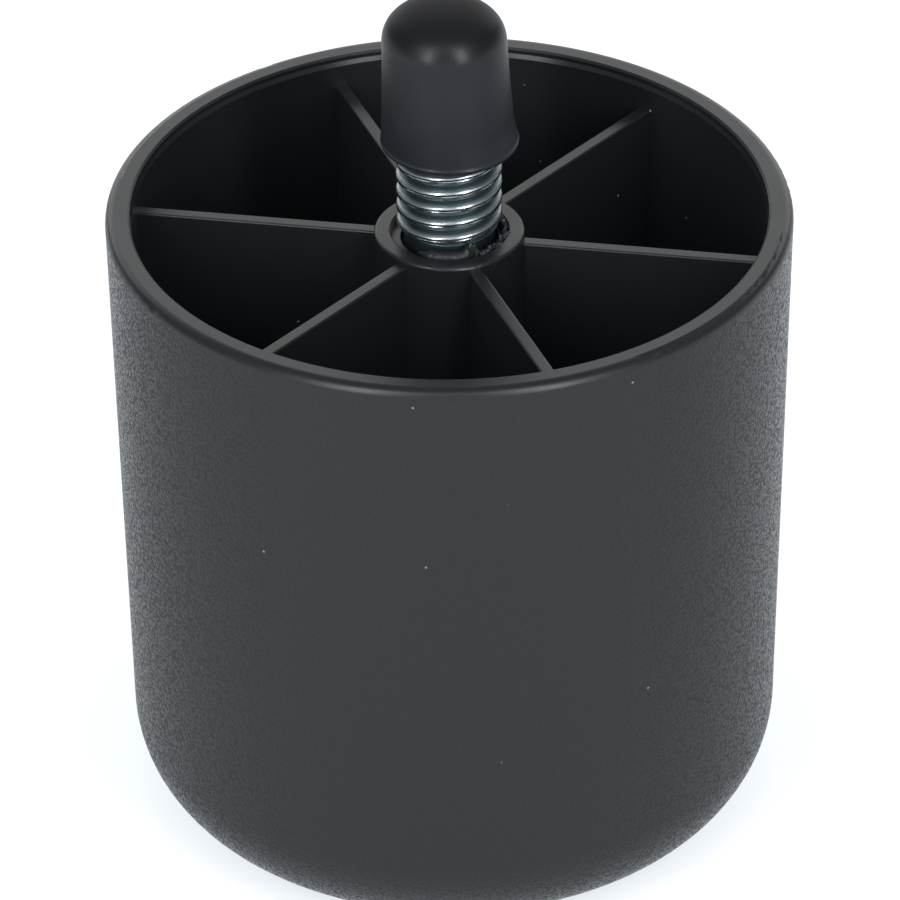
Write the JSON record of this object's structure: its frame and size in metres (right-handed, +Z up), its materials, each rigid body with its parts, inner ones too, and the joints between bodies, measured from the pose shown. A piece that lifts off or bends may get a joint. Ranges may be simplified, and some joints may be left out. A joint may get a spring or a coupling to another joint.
{
  "type": "furniture glide",
  "caption": "Round ribbed plastic cup foot with a steel thread stud in its central boss and a push-on cap over the stud, to level a bench or desk.",
  "frame": {"origin": "centre of the flat base, which is the lowest face", "axes": "+Z up along the stud, which is the axis of the cup; +X along one of the ribs"},
  "size_m": [0.05, 0.05, 0.0667],
  "materials": {
    "moulded_plastic": "charcoal-black moulded plastic with a fine grain on the outer wall and smooth inside",
    "zinc_plated_steel": "bright zinc plate",
    "soft_vinyl": "satin soft black vinyl"
  },
  "bodies": {
    "foot": {"foot_body": "moulded_plastic", "threaded_stud": "zinc_plated_steel"},
    "cap": {"thread_cap": "soft_vinyl"}
  },
  "joints": [
    {"name": "cap_pull", "type": "slide", "parent": "foot", "child": "cap", "axis": [0, 0, 1], "range_m": [0, 0.012]}
  ]
}
